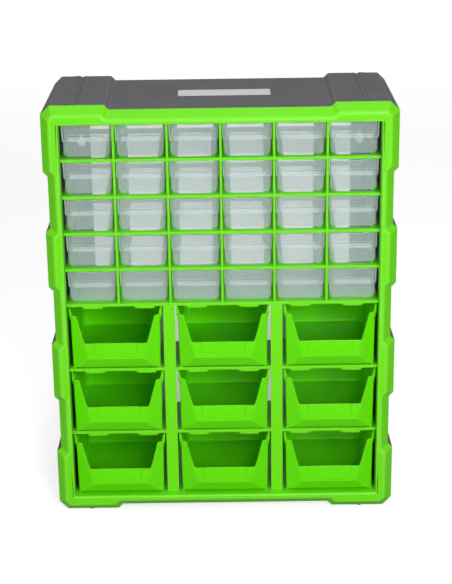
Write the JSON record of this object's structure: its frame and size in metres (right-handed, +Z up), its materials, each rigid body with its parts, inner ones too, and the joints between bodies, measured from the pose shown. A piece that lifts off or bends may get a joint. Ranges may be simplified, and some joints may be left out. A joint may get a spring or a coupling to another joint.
{
  "type": "parts drawer cabinet",
  "caption": "Parts cabinet with clear sliding drawers above open-fronted bins, in a green lattice and bevelled frame on a dark grey housing that stands or hangs on a wall.",
  "frame": {"origin": "on the ground under the middle of the cabinet, at the bottom centre of its bounding box", "axes": "+X to the right seen from the front, -Y out of the front, +Z up"},
  "size_m": [0.38, 0.16, 0.475],
  "materials": {
    "green_plastic": "lime green moulded plastic with a soft gloss",
    "grey_plastic": "dark grey moulded plastic with a fine texture",
    "clear_plastic": "clear moulded plastic",
    "pad_rubber": "soft matt pad",
    "label_film": "blank white film"
  },
  "bodies": {
    "cabinet": {"rear_housing": "grey_plastic", "foot_pads": "pad_rubber", "blank_label": "label_film", "front_frame": "green_plastic", "main_shelf": "green_plastic", "lower_bin_shelf": "green_plastic", "upper_bin_shelf": "green_plastic", "bin_floor": "green_plastic", "left_bin_mullion": "green_plastic", "right_bin_mullion": "green_plastic", "drawer_rear_rails": "green_plastic", "drawer_tier_1": "green_plastic", "drawer_tier_2": "green_plastic", "drawer_tier_3": "green_plastic", "drawer_tier_4": "green_plastic", "drawer_divider_1": "green_plastic", "drawer_divider_2": "green_plastic", "drawer_divider_3": "green_plastic", "drawer_divider_4": "green_plastic", "drawer_divider_5": "green_plastic"},
    "drawer_row1_col1": {"drawer_row1_col1": "clear_plastic"},
    "drawer_row1_col2": {"drawer_row1_col2": "clear_plastic"},
    "drawer_row1_col3": {"drawer_row1_col3": "clear_plastic"},
    "drawer_row1_col4": {"drawer_row1_col4": "clear_plastic"},
    "drawer_row1_col5": {"drawer_row1_col5": "clear_plastic"},
    "drawer_row1_col6": {"drawer_row1_col6": "clear_plastic"},
    "drawer_row2_col1": {"drawer_row2_col1": "clear_plastic"},
    "drawer_row2_col2": {"drawer_row2_col2": "clear_plastic"},
    "drawer_row2_col3": {"drawer_row2_col3": "clear_plastic"},
    "drawer_row2_col4": {"drawer_row2_col4": "clear_plastic"},
    "drawer_row2_col5": {"drawer_row2_col5": "clear_plastic"},
    "drawer_row2_col6": {"drawer_row2_col6": "clear_plastic"},
    "drawer_row3_col1": {"drawer_row3_col1": "clear_plastic"},
    "drawer_row3_col2": {"drawer_row3_col2": "clear_plastic"},
    "drawer_row3_col3": {"drawer_row3_col3": "clear_plastic"},
    "drawer_row3_col4": {"drawer_row3_col4": "clear_plastic"},
    "drawer_row3_col5": {"drawer_row3_col5": "clear_plastic"},
    "drawer_row3_col6": {"drawer_row3_col6": "clear_plastic"},
    "drawer_row4_col1": {"drawer_row4_col1": "clear_plastic"},
    "drawer_row4_col2": {"drawer_row4_col2": "clear_plastic"},
    "drawer_row4_col3": {"drawer_row4_col3": "clear_plastic"},
    "drawer_row4_col4": {"drawer_row4_col4": "clear_plastic"},
    "drawer_row4_col5": {"drawer_row4_col5": "clear_plastic"},
    "drawer_row4_col6": {"drawer_row4_col6": "clear_plastic"},
    "drawer_row5_col1": {"drawer_row5_col1": "clear_plastic"},
    "drawer_row5_col2": {"drawer_row5_col2": "clear_plastic"},
    "drawer_row5_col3": {"drawer_row5_col3": "clear_plastic"},
    "drawer_row5_col4": {"drawer_row5_col4": "clear_plastic"},
    "drawer_row5_col5": {"drawer_row5_col5": "clear_plastic"},
    "drawer_row5_col6": {"drawer_row5_col6": "clear_plastic"},
    "bin_row1_col1": {"bin_row1_col1": "green_plastic"},
    "bin_row1_col2": {"bin_row1_col2": "green_plastic"},
    "bin_row1_col3": {"bin_row1_col3": "green_plastic"},
    "bin_row2_col1": {"bin_row2_col1": "green_plastic"},
    "bin_row2_col2": {"bin_row2_col2": "green_plastic"},
    "bin_row2_col3": {"bin_row2_col3": "green_plastic"},
    "bin_row3_col1": {"bin_row3_col1": "green_plastic"},
    "bin_row3_col2": {"bin_row3_col2": "green_plastic"},
    "bin_row3_col3": {"bin_row3_col3": "green_plastic"}
  },
  "joints": [
    {"name": "drawer_row1_col1_slide", "type": "slide", "parent": "cabinet", "child": "drawer_row1_col1", "axis": [0, -1, 0], "range_m": [0, 0.115]},
    {"name": "drawer_row1_col2_slide", "type": "slide", "parent": "cabinet", "child": "drawer_row1_col2", "axis": [0, -1, 0], "range_m": [0, 0.115]},
    {"name": "drawer_row1_col3_slide", "type": "slide", "parent": "cabinet", "child": "drawer_row1_col3", "axis": [0, -1, 0], "range_m": [0, 0.115]},
    {"name": "drawer_row1_col4_slide", "type": "slide", "parent": "cabinet", "child": "drawer_row1_col4", "axis": [0, -1, 0], "range_m": [0, 0.115]},
    {"name": "drawer_row1_col5_slide", "type": "slide", "parent": "cabinet", "child": "drawer_row1_col5", "axis": [0, -1, 0], "range_m": [0, 0.115]},
    {"name": "drawer_row1_col6_slide", "type": "slide", "parent": "cabinet", "child": "drawer_row1_col6", "axis": [0, -1, 0], "range_m": [0, 0.115]},
    {"name": "drawer_row2_col1_slide", "type": "slide", "parent": "cabinet", "child": "drawer_row2_col1", "axis": [0, -1, 0], "range_m": [0, 0.115]},
    {"name": "drawer_row2_col2_slide", "type": "slide", "parent": "cabinet", "child": "drawer_row2_col2", "axis": [0, -1, 0], "range_m": [0, 0.115]},
    {"name": "drawer_row2_col3_slide", "type": "slide", "parent": "cabinet", "child": "drawer_row2_col3", "axis": [0, -1, 0], "range_m": [0, 0.115]},
    {"name": "drawer_row2_col4_slide", "type": "slide", "parent": "cabinet", "child": "drawer_row2_col4", "axis": [0, -1, 0], "range_m": [0, 0.115]},
    {"name": "drawer_row2_col5_slide", "type": "slide", "parent": "cabinet", "child": "drawer_row2_col5", "axis": [0, -1, 0], "range_m": [0, 0.115]},
    {"name": "drawer_row2_col6_slide", "type": "slide", "parent": "cabinet", "child": "drawer_row2_col6", "axis": [0, -1, 0], "range_m": [0, 0.115]},
    {"name": "drawer_row3_col1_slide", "type": "slide", "parent": "cabinet", "child": "drawer_row3_col1", "axis": [0, -1, 0], "range_m": [0, 0.115]},
    {"name": "drawer_row3_col2_slide", "type": "slide", "parent": "cabinet", "child": "drawer_row3_col2", "axis": [0, -1, 0], "range_m": [0, 0.115]},
    {"name": "drawer_row3_col3_slide", "type": "slide", "parent": "cabinet", "child": "drawer_row3_col3", "axis": [0, -1, 0], "range_m": [0, 0.115]},
    {"name": "drawer_row3_col4_slide", "type": "slide", "parent": "cabinet", "child": "drawer_row3_col4", "axis": [0, -1, 0], "range_m": [0, 0.115]},
    {"name": "drawer_row3_col5_slide", "type": "slide", "parent": "cabinet", "child": "drawer_row3_col5", "axis": [0, -1, 0], "range_m": [0, 0.115]},
    {"name": "drawer_row3_col6_slide", "type": "slide", "parent": "cabinet", "child": "drawer_row3_col6", "axis": [0, -1, 0], "range_m": [0, 0.115]},
    {"name": "drawer_row4_col1_slide", "type": "slide", "parent": "cabinet", "child": "drawer_row4_col1", "axis": [0, -1, 0], "range_m": [0, 0.115]},
    {"name": "drawer_row4_col2_slide", "type": "slide", "parent": "cabinet", "child": "drawer_row4_col2", "axis": [0, -1, 0], "range_m": [0, 0.115]},
    {"name": "drawer_row4_col3_slide", "type": "slide", "parent": "cabinet", "child": "drawer_row4_col3", "axis": [0, -1, 0], "range_m": [0, 0.115]},
    {"name": "drawer_row4_col4_slide", "type": "slide", "parent": "cabinet", "child": "drawer_row4_col4", "axis": [0, -1, 0], "range_m": [0, 0.115]},
    {"name": "drawer_row4_col5_slide", "type": "slide", "parent": "cabinet", "child": "drawer_row4_col5", "axis": [0, -1, 0], "range_m": [0, 0.115]},
    {"name": "drawer_row4_col6_slide", "type": "slide", "parent": "cabinet", "child": "drawer_row4_col6", "axis": [0, -1, 0], "range_m": [0, 0.115]},
    {"name": "drawer_row5_col1_slide", "type": "slide", "parent": "cabinet", "child": "drawer_row5_col1", "axis": [0, -1, 0], "range_m": [0, 0.115]},
    {"name": "drawer_row5_col2_slide", "type": "slide", "parent": "cabinet", "child": "drawer_row5_col2", "axis": [0, -1, 0], "range_m": [0, 0.115]},
    {"name": "drawer_row5_col3_slide", "type": "slide", "parent": "cabinet", "child": "drawer_row5_col3", "axis": [0, -1, 0], "range_m": [0, 0.115]},
    {"name": "drawer_row5_col4_slide", "type": "slide", "parent": "cabinet", "child": "drawer_row5_col4", "axis": [0, -1, 0], "range_m": [0, 0.115]},
    {"name": "drawer_row5_col5_slide", "type": "slide", "parent": "cabinet", "child": "drawer_row5_col5", "axis": [0, -1, 0], "range_m": [0, 0.115]},
    {"name": "drawer_row5_col6_slide", "type": "slide", "parent": "cabinet", "child": "drawer_row5_col6", "axis": [0, -1, 0], "range_m": [0, 0.115]},
    {"name": "bin_row1_col1_slide", "type": "slide", "parent": "cabinet", "child": "bin_row1_col1", "axis": [0, -1, 0], "range_m": [0, 0.118]},
    {"name": "bin_row1_col2_slide", "type": "slide", "parent": "cabinet", "child": "bin_row1_col2", "axis": [0, -1, 0], "range_m": [0, 0.118]},
    {"name": "bin_row1_col3_slide", "type": "slide", "parent": "cabinet", "child": "bin_row1_col3", "axis": [0, -1, 0], "range_m": [0, 0.118]},
    {"name": "bin_row2_col1_slide", "type": "slide", "parent": "cabinet", "child": "bin_row2_col1", "axis": [0, -1, 0], "range_m": [0, 0.118]},
    {"name": "bin_row2_col2_slide", "type": "slide", "parent": "cabinet", "child": "bin_row2_col2", "axis": [0, -1, 0], "range_m": [0, 0.118]},
    {"name": "bin_row2_col3_slide", "type": "slide", "parent": "cabinet", "child": "bin_row2_col3", "axis": [0, -1, 0], "range_m": [0, 0.118]},
    {"name": "bin_row3_col1_slide", "type": "slide", "parent": "cabinet", "child": "bin_row3_col1", "axis": [0, -1, 0], "range_m": [0, 0.118]},
    {"name": "bin_row3_col2_slide", "type": "slide", "parent": "cabinet", "child": "bin_row3_col2", "axis": [0, -1, 0], "range_m": [0, 0.118]},
    {"name": "bin_row3_col3_slide", "type": "slide", "parent": "cabinet", "child": "bin_row3_col3", "axis": [0, -1, 0], "range_m": [0, 0.118]}
  ]
}
